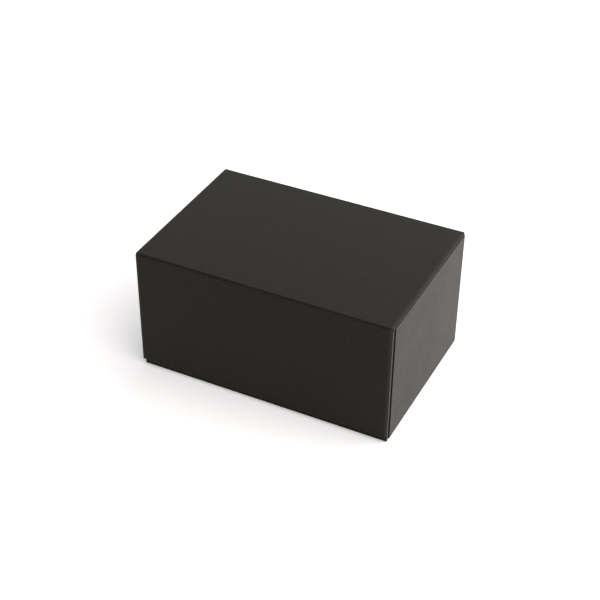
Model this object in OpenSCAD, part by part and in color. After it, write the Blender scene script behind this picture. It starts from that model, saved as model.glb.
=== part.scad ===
// Rigid gift box with a sliding drawer. Greyboard panels wrapped in black paper.
// A four-walled case stands on the table, and a folded cover of three boards is
// glued over its front, top and back. The drawer slides out of the +X end.
// Millimetres. Z is up, the long front faces -Y, and the origin is at the middle
// of the footprint on the table.

/* [Outer size] */
// Length of the cover from end to end
box_l = 200; // [120:1:320]
// Depth of the cover from front to back
box_d = 134; // [80:1:220]
// Height from the table to the top
box_h = 101; // [50:1:180]

/* [Board and paper] */
// Thickness of the cover boards
cover_board_t = 2; // [1:0.1:4]
// Thickness of the case boards
case_board_t = 2; // [1:0.1:4]
// Thickness of the tray boards
tray_board_t = 2; // [1:0.1:4]
// Thickness of the board in the drawer's face
face_board_t = 2; // [1:0.1:4]
// Thickness of the wrapping paper
paper_t = 0.2; // [0.1:0.05:0.4]
// Thickness of the lining paper
lining_t = 0.2; // [0.1:0.05:0.4]
// Thickness of the corner tape
tape_t = 0.1; // [0.05:0.05:0.3]
// Width of each leg of the corner tape
tape_w = 12; // [6:1:25]
// Width of the wrapping paper that is turned in over an edge
turn_in = 15; // [6:1:25]

/* [Cover] */
// How far the cover stands past the case at each end
end_overhang = 1.1; // [0.4:0.1:4]
// Height of the front board's lower edge above the table
front_lift = 5.4; // [1:0.1:20]
// Height of the back board's lower edge above the table
back_lift = 0.5; // [0.4:0.1:20]
// Width of the folded edge, measured on the top
fold_w = 1.4; // [0.6:0.1:3]
// How far the paper dips into the folded edge
fold_dip = 0.3; // [0.05:0.05:0.5]
// Joint between the top board and the upright boards
hinge_gap = 0.1; // [0.05:0.05:0.5]

/* [Drawer] */
// Air between the tray and each side wall of the case
side_gap = 0.6; // [0.3:0.1:2]
// Air under the tray
floor_gap = 0.4; // [0.3:0.1:2]
// Air between the tray's rim and the case's ceiling
rim_gap = 1.8; // [0.5:0.1:30]
// How far the tray's rear stays inside the open end
rear_inset = 1; // [0:0.1:20]
// How far the face lies behind the cover's end
face_recess = 0; // [0:0.1:3]
// Air between the face and the front wall of the case
face_front_gap = 1; // [0.3:0.1:3]
// Air between the face and the cover's top
face_top_gap = 0.5; // [0.3:0.1:3]
// Air between the face's rear side and the case, drawer shut
face_seat_gap = 0.3; // [0.3:0.1:2]
// Height of the face's lower edge above the table
face_lift = 0.8; // [0.4:0.1:5]
// How far the face's far edge lies inside the back of the cover
face_back_inset = 0.1; // [0:0.1:3]

/* [Hidden] */

// Colours
board_c = [0.32, 0.31, 0.30];
wrap_c = [0.13, 0.125, 0.12];
cover_c = [0.16, 0.155, 0.15];
lining_c = [0.09, 0.09, 0.09];
tape_c = [0.55, 0.42, 0.28];
// Straight runs that make up the curve of a folded edge
fold_steps = 8;
// Reach of a cutting solid past what it cuts
cut = 50;

// Finished faces of the cover
x_left = -box_l / 2;
x_right = box_l / 2;
y_front = -box_d / 2;
y_back = box_d / 2;
cover_t = paper_t + cover_board_t + lining_t;
z_hinge = box_h - paper_t - cover_board_t - hinge_gap;

// Finished faces of the case
case_wall = paper_t + case_board_t + lining_t;
case_x0 = x_left + end_overhang;
case_x1 = x_right - end_overhang;
case_y0 = y_front + cover_t;
case_y1 = y_back - cover_t;
case_z1 = box_h - cover_t;
room_y0 = case_y0 + case_wall;
room_y1 = case_y1 - case_wall;
room_z0 = case_wall;
room_z1 = case_z1 - case_wall;

// Finished faces of the drawer's face panel
face_t = face_board_t + 2 * paper_t;
face_x1 = x_right - face_recess;
face_x0 = face_x1 - face_t;
face_y0 = room_y0 + face_front_gap;
face_y1 = y_back - face_back_inset;
face_z0 = face_lift;
face_z1 = case_z1 - face_top_gap;
// Plane on which the face's rear side meets the bottom, back and top of the case
seat_x = face_x0 - face_seat_gap;

// Finished faces of the tray
tray_wall = paper_t + tray_board_t + lining_t;
tray_x0 = case_x0 + rear_inset;
tray_x1 = face_x0;
tray_y0 = room_y0 + side_gap;
tray_y1 = room_y1 - side_gap;
tray_z0 = room_z0 + floor_gap;
tray_z1 = room_z1 - rim_gap;

// The tray's bottom board between the four walls, and its finished floor
floor_x0 = tray_x0 + paper_t + tray_board_t;
floor_x1 = tray_x1 - paper_t - tray_board_t;
floor_y0 = tray_y0 + paper_t + tray_board_t;
floor_y1 = tray_y1 - paper_t - tray_board_t;
floor_z = tray_z0 + tray_wall;

// A box given by its two far corners
module block(a, b) {
  translate(a)
    cube(b - a);
}

// ---- Case -------------------------------------------------------------------

// The case as a tube with four walls. p lays its outer faces and ends, and q
// its inner faces, that far below the finished ones. Its bottom, back and top
// are cut back at the +X end, where the drawer's face closes over them.
module case_tube(p, q) {
  difference() {
    block([case_x0 + p, case_y0 + p, p], [case_x1 - p, case_y1 - p, case_z1 - p]);
    block([case_x0 - cut, room_y0 - q, room_z0 - q], [case_x1 + cut, room_y1 + q, room_z1 + q]);
    block([seat_x - p, room_y0 - q, -cut], [case_x1 + cut, y_back + cut, case_z1 + cut]);
  }
}

// Tape in a shallow rebate along the four long corners of the boards
module case_tapes() {
  for (y = [case_y0, case_y1 - tape_w], z = [0, case_z1 - tape_w])
    intersection() {
      difference() {
        case_tube(paper_t, lining_t);
        block(
          [case_x0 - cut, case_y0 + paper_t + tape_t, paper_t + tape_t],
          [case_x1 + cut, case_y1 - paper_t - tape_t, case_z1 - paper_t - tape_t]
        );
      }
      block([case_x0, y, z], [case_x1, y + tape_w, z + tape_w]);
    }
}

module case_skin() {
  difference() {
    case_tube(0, 0);
    case_tube(paper_t, lining_t);
  }
}

// Where the lining lies: the inner faces, clear of the turned-in margins. It
// reaches half way into the boards, where there is no paper.
module case_lining_zone() {
  e = lining_t + case_board_t / 2;
  block(
    [case_x0 + turn_in, room_y0 - e, room_z0 - e],
    [case_x1 - turn_in, room_y1 + e, room_z1 + e]
  );
}

// One board of the case between two far corners, less the rebates for the tape
module case_board(a, b) {
  color(board_c)
    difference() {
      block(a, b);
      case_tapes();
    }
}

module case_front_board() {
  case_board(
    [case_x0 + paper_t, case_y0 + paper_t, paper_t],
    [case_x1 - paper_t, room_y0 - lining_t, case_z1 - paper_t]
  );
}

module case_back_board() {
  case_board(
    [case_x0 + paper_t, room_y1 + lining_t, paper_t],
    [seat_x - paper_t, case_y1 - paper_t, case_z1 - paper_t]
  );
}

module case_bottom_board() {
  case_board(
    [case_x0 + paper_t, room_y0 - lining_t, paper_t],
    [seat_x - paper_t, room_y1 + lining_t, room_z0 - lining_t]
  );
}

module case_top_board() {
  case_board(
    [case_x0 + paper_t, room_y0 - lining_t, room_z1 + lining_t],
    [seat_x - paper_t, room_y1 + lining_t, case_z1 - paper_t]
  );
}

module case_corner_tapes() {
  color(tape_c)
    case_tapes();
}

// One sheet round the outside, folded over both ends and turned in
module case_wrap_paper() {
  color(wrap_c)
    difference() {
      case_skin();
      case_lining_zone();
      block([x_left, y_front, -cut], [x_right, y_back, paper_t]);
    }
}

module case_lining_paper() {
  color(lining_c)
    intersection() {
      case_skin();
      case_lining_zone();
    }
}

// Sheet under the bottom, on which the box stands
module case_base_paper() {
  color(wrap_c)
    intersection() {
      case_skin();
      block([x_left, y_front, 0], [x_right, y_back, paper_t]);
    }
}

// ---- Cover ------------------------------------------------------------------

// A folded edge seen from the end: the paper dips in a shallow curve between
// the two boards, p below its finished face. s is 1 at the back, -1 at the front.
function fold_points(s, p) =
  let (
    low = [s * (box_d / 2 - p), z_hinge],
    high = [s * (box_d / 2 - fold_w), box_h - p],
    run = high - low,
    inward = [-s * abs(run[1]), -abs(run[0])] / norm(run)
  )
  [
    for (i = [0:fold_steps])
      let (t = i / fold_steps)
        low + t * run + 4 * t * (1 - t) * fold_dip * inward
  ];

// Outline of the cover from the end, p below its finished outer faces
module cover_outline(p) {
  back = fold_points(1, p);
  polygon(
    concat(
      [[y_front + p, back_lift]],
      fold_points(-1, p),
      [for (i = [fold_steps:-1:0]) back[i]],
      [[y_back - p, back_lift]]
    )
  );
}

// Cut that lets the drawer's face close over the end of the back board
module cover_seat(p) {
  block([seat_x - p, case_y0, -cut], [x_right + cut, y_back + cut, case_z1 + p]);
}

// The whole cover, p below its outer faces and q below its inner ones
module cover_solid(p, q) {
  difference() {
    translate([x_left + p, 0, 0])
      rotate([90, 0, 90])
        linear_extrude(height = box_l - 2 * p)
          cover_outline(p);
    block([x_left - cut, case_y0 - q, -cut], [x_right + cut, case_y1 + q, case_z1 + q]);
    block([x_left - cut, y_front - cut, -cut], [x_right + cut, 0, front_lift + p]);
    block([x_left - cut, 0, -cut], [x_right + cut, y_back + cut, back_lift + p]);
    cover_seat(p);
  }
}

module cover_skin() {
  difference() {
    cover_solid(0, 0);
    cover_solid(paper_t, lining_t);
  }
}

// Where the liner lies: the inner faces, clear of the turned-in margins
module cover_liner_zone() {
  e = lining_t + cover_board_t / 2;
  block(
    [x_left + turn_in, case_y0 - e, front_lift + turn_in],
    [x_right - turn_in, 0, case_z1 + e]
  );
  block(
    [x_left + turn_in, 0, back_lift + turn_in],
    [x_right - turn_in, case_y1 + e, case_z1 + e]
  );
}

module cover_top_board() {
  color(board_c)
    block(
      [x_left + paper_t, y_front + fold_w, case_z1 + lining_t],
      [x_right - paper_t, y_back - fold_w, box_h - paper_t]
    );
}

module cover_front_board() {
  color(board_c)
    block(
      [x_left + paper_t, y_front + paper_t, front_lift + paper_t],
      [x_right - paper_t, case_y0 - lining_t, z_hinge]
    );
}

module cover_back_board() {
  color(board_c)
    difference() {
      block(
        [x_left + paper_t, case_y1 + lining_t, back_lift + paper_t],
        [x_right - paper_t, y_back - paper_t, z_hinge]
      );
      cover_seat(paper_t);
    }
}

// One sheet over the three boards, dipped at both folds and turned in all round
module cover_wrap_paper() {
  color(cover_c)
    difference() {
      cover_skin();
      cover_liner_zone();
    }
}

module cover_liner_paper() {
  color(wrap_c)
    intersection() {
      cover_skin();
      cover_liner_zone();
    }
}

// ---- Drawer -----------------------------------------------------------------

// The open tray, p below its outer faces and q below its inner ones
module tray(p, q) {
  difference() {
    block([tray_x0 + p, tray_y0 + p, tray_z0 + p], [tray_x1 - p, tray_y1 - p, tray_z1 - p]);
    block(
      [tray_x0 + tray_wall - q, tray_y0 + tray_wall - q, tray_z0 + tray_wall - q],
      [tray_x1 - tray_wall + q, tray_y1 - tray_wall + q, tray_z1 + cut]
    );
  }
}

// Tape in a shallow rebate round the four upright corners of the boards
module drawer_tapes() {
  e = paper_t + tape_t;
  for (x = [tray_x0, tray_x1 - tape_w], y = [tray_y0, tray_y1 - tape_w])
    intersection() {
      difference() {
        tray(paper_t, lining_t);
        block([tray_x0 + e, tray_y0 + e, tray_z0 - cut], [tray_x1 - e, tray_y1 - e, tray_z1 + cut]);
      }
      block([x, y, tray_z0], [x + tape_w, y + tape_w, tray_z1]);
    }
}

module drawer_skin() {
  difference() {
    tray(0, 0);
    tray(paper_t, lining_t);
  }
}

// One board of the tray between two far corners, less the rebates for the tape
module drawer_board(a, b) {
  color(board_c)
    difference() {
      block(a, b);
      drawer_tapes();
    }
}

module drawer_front_side() {
  drawer_board(
    [tray_x0 + paper_t, tray_y0 + paper_t, tray_z0 + paper_t],
    [tray_x1 - paper_t, floor_y0, tray_z1 - paper_t]
  );
}

module drawer_back_side() {
  drawer_board(
    [tray_x0 + paper_t, floor_y1, tray_z0 + paper_t],
    [tray_x1 - paper_t, tray_y1 - paper_t, tray_z1 - paper_t]
  );
}

module drawer_rear_board() {
  drawer_board(
    [tray_x0 + paper_t, floor_y0, tray_z0 + paper_t],
    [floor_x0, floor_y1, tray_z1 - paper_t]
  );
}

module drawer_inner_board() {
  drawer_board(
    [floor_x1, floor_y0, tray_z0 + paper_t],
    [tray_x1 - paper_t, floor_y1, tray_z1 - paper_t]
  );
}

module drawer_bottom_board() {
  color(board_c)
    block(
      [floor_x0, floor_y0, tray_z0 + paper_t],
      [floor_x1, floor_y1, floor_z - lining_t]
    );
}

module drawer_corner_tapes() {
  color(tape_c)
    drawer_tapes();
}

// The inner faces of the tray from one height to another. It reaches half way
// into the boards, where there is no paper.
module drawer_inside(z0, z1) {
  e = tray_board_t / 2;
  block([floor_x0 - e, floor_y0 - e, z0], [floor_x1 + e, floor_y1 + e, z1]);
}

// One sheet round the outside, over the rim and turned in
module drawer_wrap_paper() {
  color(wrap_c)
    difference() {
      drawer_skin();
      drawer_inside(floor_z - lining_t - tray_board_t / 2, tray_z1 - turn_in);
      block([x_left, y_front, 0], [x_right, y_back, tray_z0 + paper_t]);
    }
}

// Lining of the four walls, under the turned-in rim
module drawer_lining_paper() {
  color(lining_c)
    intersection() {
      drawer_skin();
      drawer_inside(floor_z, tray_z1 - turn_in);
    }
}

// Sheet on the tray's floor, inside
module drawer_floor_paper() {
  color(lining_c)
    intersection() {
      drawer_skin();
      drawer_inside(floor_z - lining_t - tray_board_t / 2, floor_z);
    }
}

// Sheet under the tray, which slides on the case's lining
module drawer_base_paper() {
  color(wrap_c)
    intersection() {
      drawer_skin();
      block([x_left, y_front, 0], [x_right, y_back, tray_z0 + paper_t]);
    }
}

// The face panel, p below its finished faces
module face_panel(p) {
  block([face_x0 + p, face_y0 + p, face_z0 + p], [face_x1 - p, face_y1 - p, face_z1 - p]);
}

module face_liner_zone() {
  block(
    [face_x0, face_y0 + turn_in, face_z0 + turn_in],
    [face_x0 + paper_t, face_y1 - turn_in, face_z1 - turn_in]
  );
}

module drawer_face_board() {
  color(board_c)
    face_panel(paper_t);
}

// One sheet over the face, turned round its four edges onto the rear side
module drawer_face_paper() {
  color(cover_c)
    difference() {
      face_panel(0);
      face_panel(paper_t);
      face_liner_zone();
    }
}

module drawer_face_liner() {
  color(wrap_c)
    face_liner_zone();
}

case_bottom_board();
case_front_board();
case_back_board();
case_top_board();
case_corner_tapes();
case_wrap_paper();
case_lining_paper();
case_base_paper();
cover_top_board();
cover_front_board();
cover_back_board();
cover_wrap_paper();
cover_liner_paper();
drawer_bottom_board();
drawer_front_side();
drawer_back_side();
drawer_rear_board();
drawer_inner_board();
drawer_corner_tapes();
drawer_wrap_paper();
drawer_lining_paper();
drawer_floor_paper();
drawer_base_paper();
drawer_face_board();
drawer_face_paper();
drawer_face_liner();
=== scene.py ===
"""Looks of a rigid gift box with a sliding drawer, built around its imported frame.

Most greyboard panels, the tapes and the linings are the frame's own nodes with a
finish. The wrapping papers are remade here as thin sheets with softly rounded edges.
The cover's boards and the case's front board are remade to fit inside them.
Metres. Z is up, the long front faces -Y, and the box stands on z = 0.
"""

import math

import bmesh
import bpy
from mathutils import Matrix, Vector


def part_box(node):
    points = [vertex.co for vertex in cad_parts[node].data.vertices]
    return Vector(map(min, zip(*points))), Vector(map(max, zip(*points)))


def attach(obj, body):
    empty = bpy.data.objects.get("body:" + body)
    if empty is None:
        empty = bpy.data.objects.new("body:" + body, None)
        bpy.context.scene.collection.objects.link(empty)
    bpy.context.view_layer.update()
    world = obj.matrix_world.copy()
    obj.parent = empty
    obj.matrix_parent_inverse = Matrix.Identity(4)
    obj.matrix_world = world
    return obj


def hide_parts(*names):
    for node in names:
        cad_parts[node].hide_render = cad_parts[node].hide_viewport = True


bl_info = {
    "name": "Gift box with a sliding drawer",
    "version": (1, 0, 0),
    "blender": (4, 5, 0),
    "location": "3D View > Sidebar > Gift Box",
    "description": "Wraps a packed board box in paper and sets it on a pale floor",
    "category": "Object",
}

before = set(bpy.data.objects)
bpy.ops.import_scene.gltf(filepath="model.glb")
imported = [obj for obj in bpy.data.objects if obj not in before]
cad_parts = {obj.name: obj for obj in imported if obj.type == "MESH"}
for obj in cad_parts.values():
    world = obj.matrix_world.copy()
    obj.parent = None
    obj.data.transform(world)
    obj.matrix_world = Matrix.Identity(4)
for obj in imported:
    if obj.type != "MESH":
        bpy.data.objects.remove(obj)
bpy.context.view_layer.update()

MM = 0.001
EPS = 1e-6
MERGE_WITHIN = 1e-7

# Shaping of the papers
CREST_GAP = 1.2        # papers between the crest of a front fold and the top board
WALL_BACK = 3          # papers by which the case's front wall ends short of the cover
EDGE_STOP = 1.2        # edge radii left unrounded next to the cover's ends
SHOULDER_SHARE = 0.5   # rounding beside a fold, as a share of the edge radius
FOLD_CUTS = 5          # slices across a dipped fold
SAME_SLOPE = 0.999     # cosine above which an edge belongs to a fold
ALIGNED = 0.99         # cosine above which an edge is parallel to an axis
SMOOTH_BELOW = 40      # degrees below which an edge is shaded smooth
SHEET_EDGE = 0.00005   # rounding at the cut edge of a flat sheet
MIDDLE_REACH = 0.01    # how near the tray's axis the middle of its opening lies

# Marks in the papers and boards: their widths, and the heights of their relief
# Edges painted lighter, partly wear and partly a painted highlight: how far the edge mask reaches
# and bends
EDGE_REACH = 0.9 * MM
EDGE_BEND = (0.004, 0.12)
# Painted highlight band just short of the cover's ends: its length and its ramp
END_HIGHLIGHT_LENGTH = 3 * MM
END_HIGHLIGHT_STOPS = ((0.2, 0), (0.6, 1), (0.8, 1), (0.97, 0))
LINING_FIBRE, LINING_RELIEF = 0.0011, 0.00003
BOARD_CLOUD, BOARD_SPECK, BOARD_RELIEF = 0.012, 0.0009, 0.00005
TAPE_FIBRE, TAPE_CLOUD, TAPE_RELIEF = 0.0008, 0.01, 0.00002

# Floor and camera
FLOOR_HALF = 6
FLOOR_DROP = 0.1 * MM
FLOOR_FADE = (1.2, 2.5)
SENSOR = 36
CLIP = (0.01, 50)

# Boards that are left as they are in the frame
WRAPPED_BOARDS = (
    "case_bottom_board", "case_back_board", "case_top_board",
    "drawer_bottom_board", "drawer_front_side", "drawer_back_side",
    "drawer_rear_board", "drawer_inner_board", "drawer_face_board",
)
LININGS = (
    "case_lining_paper", "cover_liner_paper", "drawer_lining_paper",
    "drawer_floor_paper", "drawer_face_liner",
)
TAPES = ("case_corner_tapes", "drawer_corner_tapes")


# ---- Sizes read from the frame -------------------------------------------------


def low(node):
    """Lowest corner of a node at rest."""
    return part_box(node)[0]


def high(node):
    """Highest corner of a node at rest."""
    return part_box(node)[1]


PAPER = high("cover_wrap_paper").z - high("cover_top_board").z
FOLD_W = low("cover_top_board").y - low("cover_wrap_paper").y
FRONT_LIFT = low("cover_front_board").z - PAPER
BACK_LIFT = low("cover_back_board").z - PAPER
SEAT_X = high("case_bottom_board").x + PAPER
TURN_IN = low("cover_liner_paper").x - low("cover_wrap_paper").x
CASE_ROOM_Y = high("case_front_board").y + PAPER
CASE_ROOM_Z = low("case_top_board").z - PAPER
CASE_FLOOR_Z = high("case_bottom_board").z + PAPER
TRAY_FLOOR_Z = high("drawer_floor_paper").z


# ---- Settings ------------------------------------------------------------------


class PaperSettings(bpy.types.PropertyGroup):
    """Colours and grain of the papers and boards"""

    wrap_colour: bpy.props.FloatVectorProperty(
        name="Wrap colour",
        description="Black paper round the outside, the drawer and the tray",
        subtype="COLOR", size=3, min=0, max=1, default=(0.0086, 0.0078, 0.0050),
    )
    # Painted highlight: the paler colour of a band near the cover's ends
    end_highlight_colour: bpy.props.FloatVectorProperty(
        name="End highlight colour",
        description="Black paper painted paler near the cover's ends, as a painted highlight",
        subtype="COLOR", size=3, min=0, max=1, default=(0.0245, 0.0225, 0.0205),
    )
    lining_colour: bpy.props.FloatVectorProperty(
        name="Lining colour",
        description="Plain paper inside the case and the tray",
        subtype="COLOR", size=3, min=0, max=1, default=(0.022, 0.021, 0.019),
    )
    board_colour: bpy.props.FloatVectorProperty(
        name="Board colour",
        description="Greyboard under the papers",
        subtype="COLOR", size=3, min=0, max=1, default=(0.30, 0.275, 0.24),
    )
    tape_colour: bpy.props.FloatVectorProperty(
        name="Tape colour",
        description="Gummed tape round the corners of the boards",
        subtype="COLOR", size=3, min=0, max=1, default=(0.38, 0.23, 0.11),
    )
    wrap_roughness: bpy.props.FloatProperty(
        name="Wrap roughness",
        description="Roughness of the wrap's soft sheen",
        subtype="FACTOR", min=0, max=1, default=0.41,
    )
    wrap_index: bpy.props.FloatProperty(
        name="Wrap sheen index",
        description="Refractive index that sets how much the wrap reflects",
        min=1, max=2, default=1.199,
    )
    wrap_fuzz: bpy.props.FloatProperty(
        name="Wrap fuzz",
        description="Faint haze of paper fibre seen along the surface",
        subtype="FACTOR", min=0, max=1, default=0.067,
    )
    grain: bpy.props.FloatProperty(
        name="Grain size",
        description="Width of the fine grain pressed into the wrap",
        unit="LENGTH", min=0.0001, max=0.01, default=0.0007,
    )
    grain_depth: bpy.props.FloatProperty(
        name="Grain depth",
        description="Height of that grain",
        unit="LENGTH", min=0, max=0.001, default=0.000035,
    )
    mottle: bpy.props.FloatProperty(
        name="Mottle size",
        description="Width of the shallow unevenness under the wrap's grain",
        unit="LENGTH", min=0.0005, max=0.02, default=0.0028,
    )
    speckle: bpy.props.FloatProperty(
        name="Speckle",
        description="Contrast of the paper's light and dark specks",
        min=0, max=4, default=0.8,
    )
    cloud: bpy.props.FloatProperty(
        name="Cloud size",
        description="Size of the faint lighter and darker clouds in the paper",
        unit="LENGTH", min=0.001, max=0.2, default=0.022,
    )


class FoldSettings(bpy.types.PropertyGroup):
    """Sizes of the wrapped edges and folds"""

    edge_radius: bpy.props.FloatProperty(
        name="Edge radius",
        description="Rounding of paper drawn over the edge of a board",
        unit="LENGTH", min=0.0001, max=0.002, default=0.00045,
    )
    cover_end_radius: bpy.props.FloatProperty(
        name="Cover end radius",
        description="Rounding of the cover's paper over the ends of its boards",
        unit="LENGTH", min=0.0003, max=0.0012, default=0.0011,
    )
    end_radius: bpy.props.FloatProperty(
        name="End radius",
        description="Rounding where the paper turns over a board's end",
        unit="LENGTH", min=0.0001, max=0.001, default=0.0003,
    )
    crease_height: bpy.props.FloatProperty(
        name="Crease height",
        description="How far the crease at the front runs down from the cover's top",
        unit="LENGTH", min=0.0008, max=0.0022, default=0.0017,
    )
    fold_dip: bpy.props.FloatProperty(
        name="Fold dip",
        description="How far the paper dips in the creases of the cover",
        unit="LENGTH", min=0, max=0.0004, default=0.00038,
    )
    under_margin: bpy.props.FloatProperty(
        name="Margin underneath",
        description="Wrap that shows round the sheet under the case or the tray",
        unit="LENGTH", min=0.0005, max=0.01, default=0.0025,
    )


class StageSettings(bpy.types.PropertyGroup):
    """Camera, lamps and floor"""

    floor_colour: bpy.props.FloatVectorProperty(
        name="Floor colour",
        description="Plain pale floor",
        subtype="COLOR", size=3, min=0, max=1, default=(0.96, 0.96, 0.96),
    )
    floor_lift: bpy.props.FloatProperty(
        name="Floor lift",
        description="Light that only the camera and reflections see on the floor",
        min=0, max=1, default=0.236,
    )
    sky: bpy.props.FloatProperty(
        name="Sky light",
        description="Strength of the even light from all round",
        min=0, max=2, default=0.309,
    )
    key_watts: bpy.props.FloatProperty(
        name="Key lamp",
        description="Power of the large soft lamp above and to the right",
        unit="POWER", min=0, max=500, default=39,
    )
    key_colour: bpy.props.FloatVectorProperty(
        name="Key lamp colour",
        description="Colour of the key lamp, a little warm",
        subtype="COLOR", size=3, min=0, max=1, default=(1.0, 0.968, 0.958),
    )
    key_size: bpy.props.FloatProperty(
        name="Key lamp width",
        description="Width of the square key lamp",
        unit="LENGTH", min=0.1, max=4, default=2.41,
    )
    key_place: bpy.props.FloatVectorProperty(
        name="Key lamp place",
        description="Where the key lamp hangs",
        subtype="TRANSLATION", size=3, default=(0.793, 0.039, 1.272),
    )
    back_watts: bpy.props.FloatProperty(
        name="Back lamp",
        description="Power of the faint wide lamp behind the box",
        unit="POWER", min=0, max=500, default=4.4,
    )
    back_size: bpy.props.FloatVectorProperty(
        name="Back lamp size",
        description="Width and height of the back lamp",
        subtype="XYZ_LENGTH", size=2, min=0.1, max=4, default=(2.6, 1.6),
    )
    back_place: bpy.props.FloatVectorProperty(
        name="Back lamp place",
        description="Where the back lamp hangs",
        subtype="TRANSLATION", size=3, default=(0.594, 1.3, 0.9),
    )
    lens: bpy.props.FloatProperty(
        name="Lens",
        description="Focal length for a 36 mm wide sensor",
        min=20, max=300, default=81.04,
    )
    camera_place: bpy.props.FloatVectorProperty(
        name="Camera place",
        description="Where the camera stands",
        subtype="TRANSLATION", size=3, default=(0.3567, -0.7321, 0.6392),
    )
    camera_aim: bpy.props.FloatVectorProperty(
        name="Camera aim",
        description="Direction in which the camera looks",
        subtype="DIRECTION", size=3, default=(-0.3593, 0.7124, -0.6028),
    )
    camera_roll: bpy.props.FloatProperty(
        name="Camera roll",
        description="Turn of the camera about its aim",
        subtype="ANGLE", default=math.radians(0.19),
    )
    camera_shift: bpy.props.FloatVectorProperty(
        name="Camera shift",
        description="Offset of the picture from the lens axis, in picture widths",
        size=2, default=(0.0227, 0.0452),
    )


# ---- Node writing --------------------------------------------------------------


class Line:
    """One output in a node tree. Sums on it are written with + - * / and **."""

    def __init__(self, tree, socket):
        self.tree = tree
        self.socket = socket

    def sum(self, operation, first, second):
        return self.tree.add("ShaderNodeMath", {"operation": operation}, {0: first, 1: second})

    def __add__(self, other):
        return self.sum("ADD", self, other)

    def __radd__(self, other):
        return self.sum("ADD", other, self)

    def __sub__(self, other):
        return self.sum("SUBTRACT", self, other)

    def __rsub__(self, other):
        return self.sum("SUBTRACT", other, self)

    def __mul__(self, other):
        return self.sum("MULTIPLY", self, other)

    def __rmul__(self, other):
        return self.sum("MULTIPLY", other, self)

    def __truediv__(self, other):
        return self.sum("DIVIDE", self, other)

    def __rtruediv__(self, other):
        return self.sum("DIVIDE", other, self)

    def __pow__(self, other):
        return self.sum("POWER", self, other)


class Finish:
    """A material, or the world, whose nodes are added one at a time."""

    def __init__(self, owner):
        owner.use_nodes = True
        self.owner = owner
        self.nodes = owner.node_tree.nodes
        self.links = owner.node_tree.links
        self.nodes.clear()

    def add(self, kind, settings=None, sockets=None, out=0):
        """Adds a node: its settings first, then the values or links of its sockets."""
        node = self.nodes.new(kind)
        for name, value in (settings or {}).items():
            if name == "stops":
                ramp = node.color_ramp.elements
                while len(ramp) < len(value):
                    ramp.new(0.5)
                for element, (place, shade) in zip(ramp, value):
                    element.position = place
                    element.color = (shade, shade, shade, 1)
            else:
                setattr(node, name, value)
        for name, value in (sockets or {}).items():
            self.feed(node.inputs[name], value)
        return Line(self, node.outputs[out]) if node.outputs else None

    def feed(self, socket, value):
        """Links a line to a socket, or sets a plain value on it."""
        if isinstance(value, Line):
            self.links.new(value.socket, socket)
        elif hasattr(value, "__len__") and len(value) == 3 and socket.type == "RGBA":
            socket.default_value = (*value, 1)
        else:
            socket.default_value = value

    def place(self):
        """Place on the piece, in metres."""
        return self.add("ShaderNodeTexCoord", out="Object")

    def seen(self):
        """1 for what the camera sees, straight or in a glossy or clear surface, else 0."""
        camera, glossy, clear = (
            self.add("ShaderNodeLightPath", out=f"Is {kind} Ray")
            for kind in ("Camera", "Glossy", "Transmission")
        )
        return camera.sum("MAXIMUM", camera, glossy.sum("MAXIMUM", glossy, clear))

    def noise(self, place, size, detail=2.0, roughness=0.5, stretch=None):
        """Soft noise from 0 to 1, with clouds about that size."""
        if stretch:
            place = self.add("ShaderNodeMapping", {}, {"Vector": place, "Scale": stretch})
        return self.add(
            "ShaderNodeTexNoise", {"noise_dimensions": "3D"},
            {"Vector": place, "Scale": 1 / size, "Detail": detail, "Roughness": roughness},
        )

    def between(self, factor, first, second):
        """A colour between two, by a factor from 0 to 1."""
        return self.add(
            "ShaderNodeMix", {"data_type": "RGBA", "clamp_factor": True},
            {0: factor, 6: first, 7: second}, out=2,
        )

    def relief(self, height, depth):
        """A Bump node for a height from 0 to 1 that stands for a depth in metres."""
        return self.add(
            "ShaderNodeBump", {}, {"Height": height, "Distance": depth, "Strength": 1.0},
        )

    def edges(self, reach):
        """1 on sharp or tightly rounded edges, 0 on the flats."""
        rounded = self.add("ShaderNodeBevel", {"samples": 6}, {"Radius": reach})
        flat = self.add("ShaderNodeNewGeometry", out="Normal")
        same = self.add(
            "ShaderNodeVectorMath", {"operation": "DOT_PRODUCT"}, {0: rounded, 1: flat},
            out="Value",
        )
        start, full = EDGE_BEND
        return self.add(
            "ShaderNodeMapRange", {"clamp": True},
            {"Value": 1 - same, "From Min": start, "From Max": full, "To Min": 0.0, "To Max": 1.0},
        )

    def surface(self, **sockets):
        """The shader and the output. Words in a name are joined by underscores."""
        shader = self.add(
            "ShaderNodeBsdfPrincipled", {},
            {name.replace("_", " "): value for name, value in sockets.items()},
        )
        self.add("ShaderNodeOutputMaterial", {}, {"Surface": shader})
        return self.owner


def shade(colour, factor):
    """A colour made lighter or darker."""
    return tuple(min(1.0, c * factor) for c in colour)


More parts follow.
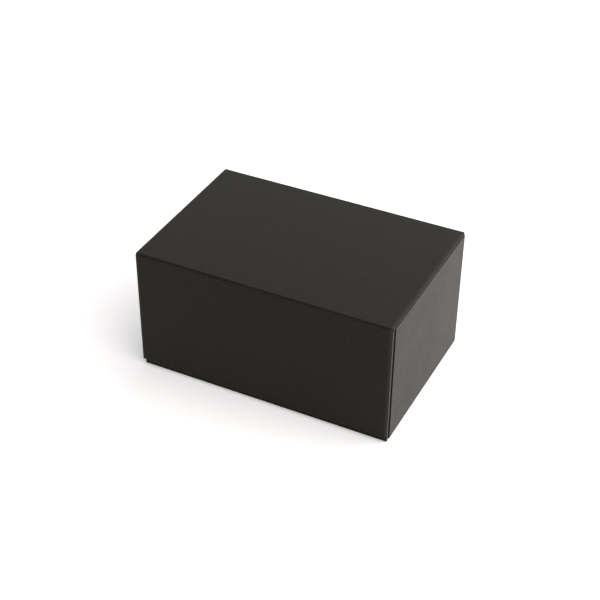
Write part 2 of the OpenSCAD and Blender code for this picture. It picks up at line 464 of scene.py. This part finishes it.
def wrap_finish(name, look, highlight_ends=None):
    """Black wrapping paper: faint clouds, a fine pressed grain, and edges painted a little
    lighter, partly as wear and partly as a painted highlight.

    highlight_ends is half the length of a piece whose ends get a band of painted highlight.
    """
    paper = Finish(bpy.data.materials.new(name))
    place = paper.place()
    cloud = paper.noise(place, look.cloud, detail=3)
    fleck = paper.noise(place, look.grain * 1.6, detail=1)
    grain = paper.noise(place, look.grain, detail=2, roughness=0.6)
    mottle = paper.noise(place, look.mottle, detail=2, roughness=0.6)
    wave = paper.noise(place, look.cloud * 1.8, detail=1)
    # Edge mask: the edges are painted lighter, partly as wear and partly as a painted highlight
    wear_and_highlight = paper.edges(EDGE_REACH)
    colour = look.wrap_colour
    speckle = (fleck + mottle) / 2 + (fleck + mottle - 1) * look.speckle
    tone = paper.between(speckle, shade(colour, 0.35), shade(colour, 1.65))
    tone = paper.between(0.35, tone, paper.between(cloud, shade(colour, 0.6), shade(colour, 1.4)))
    # Painted highlight with a little wear: edges lightened towards 1.9 times the wrap colour
    tone = paper.between(wear_and_highlight * (0.25 + 0.5 * cloud), tone, shade(colour, 1.9))
    # Painted highlight: a paler band just short of each end, where the rounded ends catch the
    # light
    if highlight_ends:
        across = paper.add("ShaderNodeSeparateXYZ", {}, {0: place}, out="X")
        reach = (across.sum("ABSOLUTE", across, 0.0) - highlight_ends) / END_HIGHLIGHT_LENGTH + 1
        highlight_band = paper.add("ShaderNodeValToRGB", {"stops": END_HIGHLIGHT_STOPS}, {0: reach})
        tone = paper.between(highlight_band * (0.6 + 0.6 * cloud), tone, look.end_highlight_colour)
    rough = look.wrap_roughness + (cloud - 0.5) * 0.1 + (speckle - 0.5) * 0.12 - wear_and_highlight * 0.04
    bump = paper.relief(grain + mottle * 2.0 + wave * 3.0, look.grain_depth)
    return paper.surface(
        Base_Color=tone, Roughness=rough, IOR=look.wrap_index, Normal=bump,
        Sheen_Weight=look.wrap_fuzz, Sheen_Roughness=0.4,
    )


def lining_finish(look):
    """Plain uncoated lining paper with long fibres."""
    paper = Finish(bpy.data.materials.new("lining_paper"))
    place = paper.place()
    cloud = paper.noise(place, look.cloud * 0.7, detail=3)
    fibre = paper.noise(place, LINING_FIBRE, detail=3, roughness=0.65, stretch=(0.35, 1.0, 1.0))
    colour = look.lining_colour
    tone = paper.between(cloud, shade(colour, 0.8), shade(colour, 1.2))
    tone = paper.between(fibre * 0.6, tone, shade(colour, 1.5))
    return paper.surface(
        Base_Color=tone, Roughness=0.74 + (fibre - 0.5) * 0.2, IOR=1.33,
        Normal=paper.relief(fibre, LINING_RELIEF),
    )


def greyboard_finish(look):
    """Pressed grey board with darker and lighter specks of waste paper."""
    board = Finish(bpy.data.materials.new("greyboard"))
    place = board.place()
    cloud = board.noise(place, BOARD_CLOUD, detail=4)
    speck = board.noise(place, BOARD_SPECK, detail=1)
    dark = board.add("ShaderNodeValToRGB", {"stops": ((0.62, 0), (0.7, 1))}, {0: speck})
    pale = board.add("ShaderNodeValToRGB", {"stops": ((0.28, 1), (0.36, 0))}, {0: speck})
    colour = look.board_colour
    tone = board.between(cloud, shade(colour, 0.86), shade(colour, 1.14))
    tone = board.between(dark * 0.6, tone, shade(colour, 0.45))
    tone = board.between(pale * 0.5, tone, shade(colour, 1.6))
    return board.surface(
        Base_Color=tone, Roughness=0.88 + (cloud - 0.5) * 0.12, IOR=1.4,
        Normal=board.relief(speck, BOARD_RELIEF),
    )


def tape_finish(look):
    """Brown gummed tape with fibres along its length."""
    tape = Finish(bpy.data.materials.new("corner_tape"))
    place = tape.place()
    fibre = tape.noise(place, TAPE_FIBRE, detail=3, stretch=(0.15, 1.0, 1.0))
    cloud = tape.noise(place, TAPE_CLOUD, detail=2)
    colour = look.tape_colour
    tone = tape.between(cloud, shade(colour, 0.85), shade(colour, 1.15))
    tone = tape.between(fibre * 0.5, tone, shade(colour, 1.4))
    return tape.surface(
        Base_Color=tone, Roughness=0.62 + (fibre - 0.5) * 0.15, IOR=1.4,
        Normal=tape.relief(fibre, TAPE_RELIEF),
    )


def black_wrap(look):
    """The black paper of the case and the drawer, made when it is first asked for."""
    return bpy.data.materials.get("black_wrap") or wrap_finish("black_wrap", look)


def greyboard(look):
    """The finish of the boards, made when it is first asked for."""
    return bpy.data.materials.get("greyboard") or greyboard_finish(look)


# ---- Mesh helpers --------------------------------------------------------------


def polygon(bm, x, points):
    """A flat face at x through (y, z) points, sharing vertices that are there."""
    corners = []
    for y, z in points:
        place = Vector((x, y, z))
        there = [v for v in bm.verts if (v.co - place).length < EPS]
        corners.append(there[0] if there else bm.verts.new(place))
    return bm.faces.new(corners)


def pull(bm, faces, step):
    """Extrudes faces by a step and leaves no wall inside the solid."""
    attached = any(len(e.link_faces) > 1 and not set(e.link_faces) <= set(faces)
                   for f in faces for e in f.edges)
    made = bmesh.ops.extrude_face_region(bm, geom=faces)["geom"]
    moved = [g for g in made if isinstance(g, bmesh.types.BMVert)]
    bmesh.ops.translate(bm, verts=moved, vec=step)
    if attached:
        bmesh.ops.delete(bm, geom=faces, context="FACES")
    bmesh.ops.recalc_face_normals(bm, faces=bm.faces)


def faces_at(bm, axis, value):
    """Faces that lie wholly in one plane across an axis."""
    return [f for f in bm.faces if all(abs(v.co[axis] - value) < EPS for v in f.verts)]


def round_edges(bm, edges, radius, steps=3):
    """Rounds edges of a solid."""
    bmesh.ops.bevel(
        bm, geom=edges, offset=radius, offset_type="OFFSET", segments=steps,
        profile=0.5, affect="EDGES", clamp_overlap=True, material=-1,
    )


def round_end(bm, cap, radius, steps=6):
    """Carries an end on outwards by a radius, and closes it in by the same."""
    for step in range(steps):
        start, end = (math.pi / 2 * k / steps for k in (step, step + 1))
        bmesh.ops.inset_region(
            bm, faces=cap, thickness=radius * (math.cos(start) - math.cos(end)),
            depth=radius * (math.sin(end) - math.sin(start)), use_even_offset=True,
        )


def sharp_edges(bm, angle=30):
    """Outward edges turned by more than an angle in degrees."""
    return [
        e for e in bm.edges
        if len(e.link_faces) == 2 and e.is_convex
        and e.calc_face_angle(0) > math.radians(angle)
    ]


def runs_along(edge, axis):
    """Whether an edge is parallel to an axis."""
    step = edge.verts[1].co - edge.verts[0].co
    return abs(step[axis]) > ALIGNED * step.length


def slice_faces(bm, faces, axis, value):
    """Cuts the given faces along a plane across an axis, and moves nothing."""
    across = Vector((axis == 0, axis == 1, axis == 2))
    cut = set(faces)
    for f in faces:
        cut.update(f.edges)
        cut.update(f.verts)
    bmesh.ops.bisect_plane(
        bm, geom=list(cut), dist=EPS, plane_co=across * value, plane_no=across,
    )


def open_window(bm, axis, value, spans):
    """Cuts a rectangular window out of the faces in one plane.

    spans gives (axis, from, to) for the window's sides; None leaves a side open.
    """
    for side, start, end in spans:
        for edge in (start, end):
            if edge is not None:
                slice_faces(bm, faces_at(bm, axis, value), side, edge)

    def inside(middle):
        return all(
            (start is None or middle[side] > start) and (end is None or middle[side] < end)
            for side, start, end in spans
        )

    window = [f for f in faces_at(bm, axis, value) if inside(f.calc_center_median())]
    if not window:
        raise RuntimeError("there is no face to open in that plane")
    bmesh.ops.delete(bm, geom=window, context="FACES")


def block(bm, a, b):
    """A box between two far corners."""
    a, b = Vector(a), Vector(b)
    made = bmesh.ops.create_cube(bm, size=1)["verts"]
    bmesh.ops.transform(
        bm, verts=made,
        matrix=Matrix.Translation((a + b) / 2) @ Matrix.Diagonal((*(b - a), 1)),
    )


def finished(bm, name, material, body, nodes, sheet=None):
    """Makes the piece. A sheet gets its thickness inwards from its outer face."""
    bmesh.ops.remove_doubles(bm, verts=bm.verts, dist=MERGE_WITHIN)
    for f in bm.faces:
        f.smooth = True
    for e in bm.edges:
        e.smooth = e.calc_face_angle(0) < math.radians(SMOOTH_BELOW)
    mesh = bpy.data.meshes.new(name)
    bm.to_mesh(mesh)
    bm.free()
    piece = bpy.data.objects.new(name, mesh)
    bpy.context.scene.collection.objects.link(piece)
    mesh.materials.append(material)
    if sheet:
        thick = piece.modifiers.new("Paper thickness", "SOLIDIFY")
        thick.thickness = sheet
        thick.offset = -1
        thick.use_even_offset = True
    flats = piece.modifiers.new("Flat faces", "WEIGHTED_NORMAL")
    flats.keep_sharp = True
    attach(piece, body)
    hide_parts(*nodes)
    return piece


def hang_lamp(context, name, watts, size, place, colour=(1, 1, 1)):
    """A soft flat lamp turned towards the box."""
    lamp = bpy.data.lights.new(name, "AREA")
    lamp.shape = "RECTANGLE"
    lamp.size, lamp.size_y = size
    lamp.energy = watts
    lamp.color = colour
    holder = bpy.data.objects.new(name, lamp)
    holder.location = place
    holder.rotation_euler = (-Vector(place)).to_track_quat("-Z", "Y").to_euler()
    context.scene.collection.objects.link(holder)


# ---- Pieces --------------------------------------------------------------------


class GIFTBOX_OT_cover(bpy.types.Operator):
    """Fold the cover's paper over its three boards"""

    bl_idname = "giftbox.cover"
    bl_label = "Cover wrap"

    def execute(self, context):
        folds, look = context.scene.giftbox_folds, context.scene.giftbox_paper
        a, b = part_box("cover_wrap_paper")
        front_in, back_in = low("case_wrap_paper").y, high("case_wrap_paper").y
        top_in = high("case_wrap_paper").z
        radius, small = folds.cover_end_radius, folds.edge_radius
        foot = Vector((a.y, b.z - folds.crease_height))
        crest = Vector((a.y + FOLD_W - CREST_GAP * PAPER, b.z))
        bm = bmesh.new()
        # Cross-section at the left end, the back wall by itself
        polygon(bm, a.x + radius, [
            (a.y, FRONT_LIFT), foot, crest, (b.y - FOLD_W, b.z), (b.y, top_in),
            (back_in, top_in), (front_in, top_in), (front_in, FRONT_LIFT),
        ])
        polygon(bm, a.x + radius, [
            (b.y, top_in), (b.y, BACK_LIFT), (back_in, BACK_LIFT), (back_in, top_in),
        ])
        pull(bm, list(bm.faces), (SEAT_X - a.x - radius, 0, 0))
        end = [
            f for f in faces_at(bm, 0, SEAT_X)
            if max(v.co.z for v in f.verts) > top_in + EPS
        ]
        pull(bm, end, (b.x - radius - SEAT_X, 0, 0))
        for x in (a.x + radius, b.x - radius):
            round_end(bm, faces_at(bm, 0, x), radius)
        stop = radius + EDGE_STOP * small
        between = (a.x + stop, b.x - stop)
        for x in between:
            slice_faces(bm, list(bm.faces), 0, x)
        self.dip_fold(bm, foot, crest, folds.fold_dip)
        self.dip_fold(bm, Vector((b.y, top_in)), Vector((b.y - FOLD_W, b.z)), folds.fold_dip)
        long = [
            e for e in sharp_edges(bm, angle=25)
            if runs_along(e, 0)
            and all(between[0] - EPS < v.co.x < between[1] + EPS for v in e.verts)
        ]
        rims = [e for e in long if e.verts[0].co.z < FRONT_LIFT + EPS]
        shoulders = [e for e in long if e.verts[0].co.z > top_in + EPS]
        round_edges(bm, rims, small, steps=4)
        round_edges(bm, shoulders, SHOULDER_SHARE * small, steps=4)
        inner = ((0, a.x + TURN_IN, b.x - TURN_IN),)
        open_window(bm, 1, front_in, (*inner, (2, FRONT_LIFT + TURN_IN, None)))
        open_window(bm, 2, top_in, inner)
        open_window(bm, 1, back_in, (*inner, (2, BACK_LIFT + TURN_IN, None)))
        # The cover's wrap carries a painted highlight band near its ends
        finished(
            bm, "cover_wrap", wrap_finish("end_highlight_wrap", look, highlight_ends=b.x),
            "case", ["cover_wrap_paper"], PAPER,
        )
        for name in ("cover_top_board", "cover_front_board", "cover_back_board"):
            self.make_core(name, radius - PAPER, look)
        return {"FINISHED"}

    @staticmethod
    def make_core(name, radius, look):
        """A board of the cover with its ends rounded like the paper round it."""
        a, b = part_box(name)
        core = bmesh.new()
        block(core, a, b)
        ends = [e for e in sharp_edges(core) if not runs_along(e, 0)]
        round_edges(core, ends, radius, steps=5)
        finished(
            core, name.replace("board", "core"), greyboard(look), "case", [name],
        )

    @staticmethod
    def dip_fold(bm, foot, crest, dip):
        """Draws the paper of one folded edge in between its two boards.

        foot and crest are the fold's sides, as (y, z).
        """
        run = (crest - foot).normalized()
        rise, sides = [], {}
        for e in bm.edges:
            start, end = (v.co for v in e.verts)
            along = Vector((end - start).yz)
            if abs(end.x - start.x) > EPS or along.length < EPS:
                continue
            if abs(along.normalized().dot(run)) > SAME_SLOPE:
                rise.append(e)
                sides[round(start.x, 6)] = (start.yz.copy(), end.yz.copy())
        inward = Vector((-run.y, run.x)) * (1 if foot.x > 0 else -1)
        made = bmesh.ops.subdivide_edges(bm, edges=rise, cuts=FOLD_CUTS)["geom_inner"]
        for v in (g for g in made if isinstance(g, bmesh.types.BMVert)):
            start, end = sides[round(v.co.x, 6)]
            reach = (end - start).length
            t = (v.co.yz - start).length / reach
            depth = 4 * t * (1 - t) * dip * reach / (crest - foot).length
            v.co += Vector((0, *(inward * depth)))


class GIFTBOX_OT_case(bpy.types.Operator):
    """Wrap the case round its four walls and both open ends"""

    bl_idname = "giftbox.case"
    bl_label = "Case wrap"

    def execute(self, context):
        folds, look = context.scene.giftbox_folds, context.scene.giftbox_paper
        a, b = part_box("case_wrap_paper")
        a = Vector((a.x, a.y, low("case_base_paper").z))
        room = (CASE_ROOM_Y, -CASE_ROOM_Y)
        front_end = high("cover_wrap_paper").x - WALL_BACK * PAPER
        back_in = low("case_back_board").y - PAPER
        bm = bmesh.new()
        polygon(bm, a.x, [
            (a.y, a.z), (a.y, b.z), (room[0], b.z), (room[0], CASE_ROOM_Z),
            (room[0], CASE_FLOOR_Z), (room[0], a.z),
        ])
        polygon(bm, a.x, [
            (room[0], b.z), (b.y, b.z), (b.y, CASE_ROOM_Z), (back_in, CASE_ROOM_Z),
            (room[0], CASE_ROOM_Z),
        ])
        polygon(bm, a.x, [
            (back_in, CASE_ROOM_Z), (b.y, CASE_ROOM_Z), (b.y, CASE_FLOOR_Z),
            (back_in, CASE_FLOOR_Z),
        ])
        polygon(bm, a.x, [
            (room[0], a.z), (room[0], CASE_FLOOR_Z), (back_in, CASE_FLOOR_Z),
            (b.y, CASE_FLOOR_Z), (b.y, a.z),
        ])
        pull(bm, list(bm.faces), (SEAT_X - a.x, 0, 0))
        stay = [f for f in faces_at(bm, 0, SEAT_X) if f.calc_center_median().y < room[0]]
        pull(bm, stay, (front_end - SEAT_X, 0, 0))
        long = [e for e in sharp_edges(bm, angle=60) if runs_along(e, 0)]
        round_edges(bm, long, folds.edge_radius)
        rims = [e for e in sharp_edges(bm, angle=60) if not runs_along(e, 0)]
        round_edges(bm, rims, folds.end_radius)
        self.make_front_core(front_end - PAPER, look)
        inner = ((0, a.x + TURN_IN, b.x - TURN_IN),)
        for axis, value in ((1, room[0]), (1, back_in), (2, CASE_ROOM_Z), (2, CASE_FLOOR_Z)):
            open_window(bm, axis, value, inner)
        m = folds.under_margin
        open_window(bm, 2, a.z, ((0, a.x + m, SEAT_X - m), (1, a.y + m, b.y - m)))
        wrap = black_wrap(look)
        finished(bm, "case_wrap", wrap, "case", ["case_wrap_paper"], PAPER)
        base = bmesh.new()
        block(base, (a.x + m, a.y + m, a.z), (SEAT_X - m, b.y - m, a.z + PAPER))
        round_edges(base, sharp_edges(base), SHEET_EDGE, steps=1)
        finished(base, "base_sheet", wrap, "case", ["case_base_paper"])
        return {"FINISHED"}

    @staticmethod
    def make_front_core(end, look):
        """The case's front board, carried on to where its paper ends."""
        a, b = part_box("case_front_board")
        core = bmesh.new()
        block(core, a, (end, b.y, b.z))
        round_edges(core, sharp_edges(core), SHEET_EDGE, steps=1)
        finished(
            core, "case_front_core", greyboard(look), "case", ["case_front_board"],
        )


class GIFTBOX_OT_tray(bpy.types.Operator):
    """Wrap the tray's four walls and turn the paper in over its rim"""

    bl_idname = "giftbox.tray"
    bl_label = "Tray wrap"

    def execute(self, context):
        folds, look = context.scene.giftbox_folds, context.scene.giftbox_paper
        a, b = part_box("drawer_wrap_paper")
        a = Vector((a.x, a.y, low("drawer_base_paper").z))
        wall = low("drawer_floor_paper").x - a.x
        lining_top = high("drawer_lining_paper").z
        bm = bmesh.new()
        block(bm, a, b)
        top = faces_at(bm, 2, b.z)
        bmesh.ops.inset_region(bm, faces=top, thickness=wall, use_even_offset=True)
        top = [
            f for f in faces_at(bm, 2, b.z)
            if f.calc_center_median().xy.length < MIDDLE_REACH
        ]
        pull(bm, top, (0, 0, TRAY_FLOOR_Z - b.z))
        round_edges(bm, sharp_edges(bm, angle=60), folds.edge_radius)
        inner = [
            f for f in bm.faces if min(v.co.z for v in f.verts) > TRAY_FLOOR_Z - EPS
            and a.x + wall - EPS < f.calc_center_median().x < b.x - wall + EPS
            and a.y + wall - EPS < f.calc_center_median().y < b.y - wall + EPS
        ]
        slice_faces(bm, inner, 2, lining_top)
        covered = [f for f in inner if f.is_valid and f.calc_center_median().z < lining_top]
        covered += faces_at(bm, 2, TRAY_FLOOR_Z)
        bmesh.ops.delete(bm, geom=list(set(covered)), context="FACES")
        m = folds.under_margin
        open_window(bm, 2, a.z, ((0, a.x + m, b.x - m), (1, a.y + m, b.y - m)))
        wrap = black_wrap(look)
        finished(bm, "tray_wrap", wrap, "drawer", ["drawer_wrap_paper"], PAPER)
        base = bmesh.new()
        block(base, (a.x + m, a.y + m, a.z), (b.x - m, b.y - m, a.z + PAPER))
        round_edges(base, sharp_edges(base), SHEET_EDGE, steps=1)
        finished(base, "tray_sheet", wrap, "drawer", ["drawer_base_paper"])
        return {"FINISHED"}


class GIFTBOX_OT_face(bpy.types.Operator):
    """Wrap the drawer's face panel and turn the paper in behind it"""

    bl_idname = "giftbox.face"
    bl_label = "Drawer face wrap"

    def execute(self, context):
        folds, look = context.scene.giftbox_folds, context.scene.giftbox_paper
        a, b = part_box("drawer_face_paper")
        bm = bmesh.new()
        block(bm, a, b)
        round_edges(bm, sharp_edges(bm), folds.edge_radius, steps=4)
        m = TURN_IN
        open_window(bm, 0, a.x, ((1, a.y + m, b.y - m), (2, a.z + m, b.z - m)))
        finished(
            bm, "face_wrap", black_wrap(look), "drawer", ["drawer_face_paper"], PAPER,
        )
        return {"FINISHED"}


class GIFTBOX_OT_boards(bpy.types.Operator):
    """Give the boards, tapes and linings of the frame their finishes"""

    bl_idname = "giftbox.boards"
    bl_label = "Boards, tapes and linings"

    def execute(self, context):
        look = context.scene.giftbox_paper
        dressed = (
            (WRAPPED_BOARDS, greyboard(look)),
            (LININGS, lining_finish(look)),
            (TAPES, tape_finish(look)),
        )
        for names, material in dressed:
            for name in names:
                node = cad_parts[name]
                node.data.materials.clear()
                node.data.materials.append(material)
        return {"FINISHED"}


class GIFTBOX_OT_stage(bpy.types.Operator):
    """Set up the floor, the lamps, the even light and the camera"""

    bl_idname = "giftbox.stage"
    bl_label = "Floor, lamps and camera"

    def execute(self, context):
        stage = context.scene.giftbox_stage
        self.make_floor(context, stage)
        self.make_light(context, stage)
        self.make_camera(context, stage)
        return {"FINISHED"}

    @staticmethod
    def make_floor(context, stage):
        bm = bmesh.new()
        bmesh.ops.create_grid(bm, x_segments=1, y_segments=1, size=FLOOR_HALF)
        bmesh.ops.translate(bm, verts=bm.verts, vec=(0, 0, -FLOOR_DROP))
        mesh = bpy.data.meshes.new("floor")
        bm.to_mesh(mesh)
        bm.free()
        floor = bpy.data.objects.new("floor", mesh)
        context.scene.collection.objects.link(floor)
        card = Finish(bpy.data.materials.new("pale_floor"))
        diffuse = card.add("ShaderNodeBsdfDiffuse", {}, {"Color": stage.floor_colour})
        away = card.add(
            "ShaderNodeVectorMath", {"operation": "LENGTH"}, {0: card.place()}, out="Value",
        )
        near_end, far_end = FLOOR_FADE
        far = card.add(
            "ShaderNodeMapRange", {"clamp": True},
            {
                "Value": away, "From Min": near_end, "From Max": far_end,
                "To Min": stage.floor_lift, "To Max": 1.0,
            },
        )
        lift = card.add("ShaderNodeEmission", {}, {"Strength": card.seen() * far})
        both = card.add("ShaderNodeAddShader", {}, {0: diffuse, 1: lift})
        card.add("ShaderNodeOutputMaterial", {}, {"Surface": both})
        mesh.materials.append(card.owner)

    @staticmethod
    def make_light(context, stage):
        world = bpy.data.worlds.new("studio")
        context.scene.world = world
        sky = Finish(world)
        strength = stage.sky + sky.seen() * (1 - stage.sky)
        glow = sky.add("ShaderNodeBackground", {}, {"Color": (1, 1, 1), "Strength": strength})
        sky.add("ShaderNodeOutputWorld", {}, {"Surface": glow})
        side = stage.key_size
        hang_lamp(context, "key", stage.key_watts, (side, side), stage.key_place, stage.key_colour)
        hang_lamp(context, "back", stage.back_watts, stage.back_size, stage.back_place)

    @staticmethod
    def make_camera(context, stage):
        data = bpy.data.cameras.new("camera")
        data.lens = stage.lens
        data.sensor_width = SENSOR
        data.shift_x, data.shift_y = stage.camera_shift
        data.clip_start, data.clip_end = CLIP
        camera = bpy.data.objects.new("camera", data)
        camera.location = stage.camera_place
        aim = Vector(stage.camera_aim).to_track_quat("-Z", "Y").to_matrix()
        roll = Matrix.Rotation(stage.camera_roll, 3, "Z")
        camera.rotation_euler = (aim @ roll).to_euler()
        context.scene.collection.objects.link(camera)
        context.scene.camera = camera
        context.scene.view_settings.view_transform = "Standard"


class GIFTBOX_PT_panel(bpy.types.Panel):
    """Gift box settings and steps"""

    bl_idname = "GIFTBOX_PT_panel"
    bl_label = "Gift Box"
    bl_space_type = "VIEW_3D"
    bl_region_type = "UI"
    bl_category = "Gift Box"

    def draw(self, context):
        scene = context.scene
        for group in (scene.giftbox_paper, scene.giftbox_folds, scene.giftbox_stage):
            box = self.layout.box()
            for name in group.__annotations__:
                box.prop(group, name)
        for step in STEPS:
            self.layout.operator(step.bl_idname)


STEPS = (
    GIFTBOX_OT_cover, GIFTBOX_OT_case, GIFTBOX_OT_tray, GIFTBOX_OT_face,
    GIFTBOX_OT_boards, GIFTBOX_OT_stage,
)
CLASSES = (PaperSettings, FoldSettings, StageSettings, *STEPS, GIFTBOX_PT_panel)


def register():
    for cls in CLASSES:
        bpy.utils.register_class(cls)
    bpy.types.Scene.giftbox_paper = bpy.props.PointerProperty(type=PaperSettings)
    bpy.types.Scene.giftbox_folds = bpy.props.PointerProperty(type=FoldSettings)
    bpy.types.Scene.giftbox_stage = bpy.props.PointerProperty(type=StageSettings)


def unregister():
    del bpy.types.Scene.giftbox_stage
    del bpy.types.Scene.giftbox_folds
    del bpy.types.Scene.giftbox_paper
    for cls in reversed(CLASSES):
        bpy.utils.unregister_class(cls)


def main():
    register()
    bpy.ops.giftbox.cover()
    bpy.ops.giftbox.case()
    bpy.ops.giftbox.tray()
    bpy.ops.giftbox.face()
    bpy.ops.giftbox.boards()
    bpy.ops.giftbox.stage()


if __name__ == "__main__":
    main()
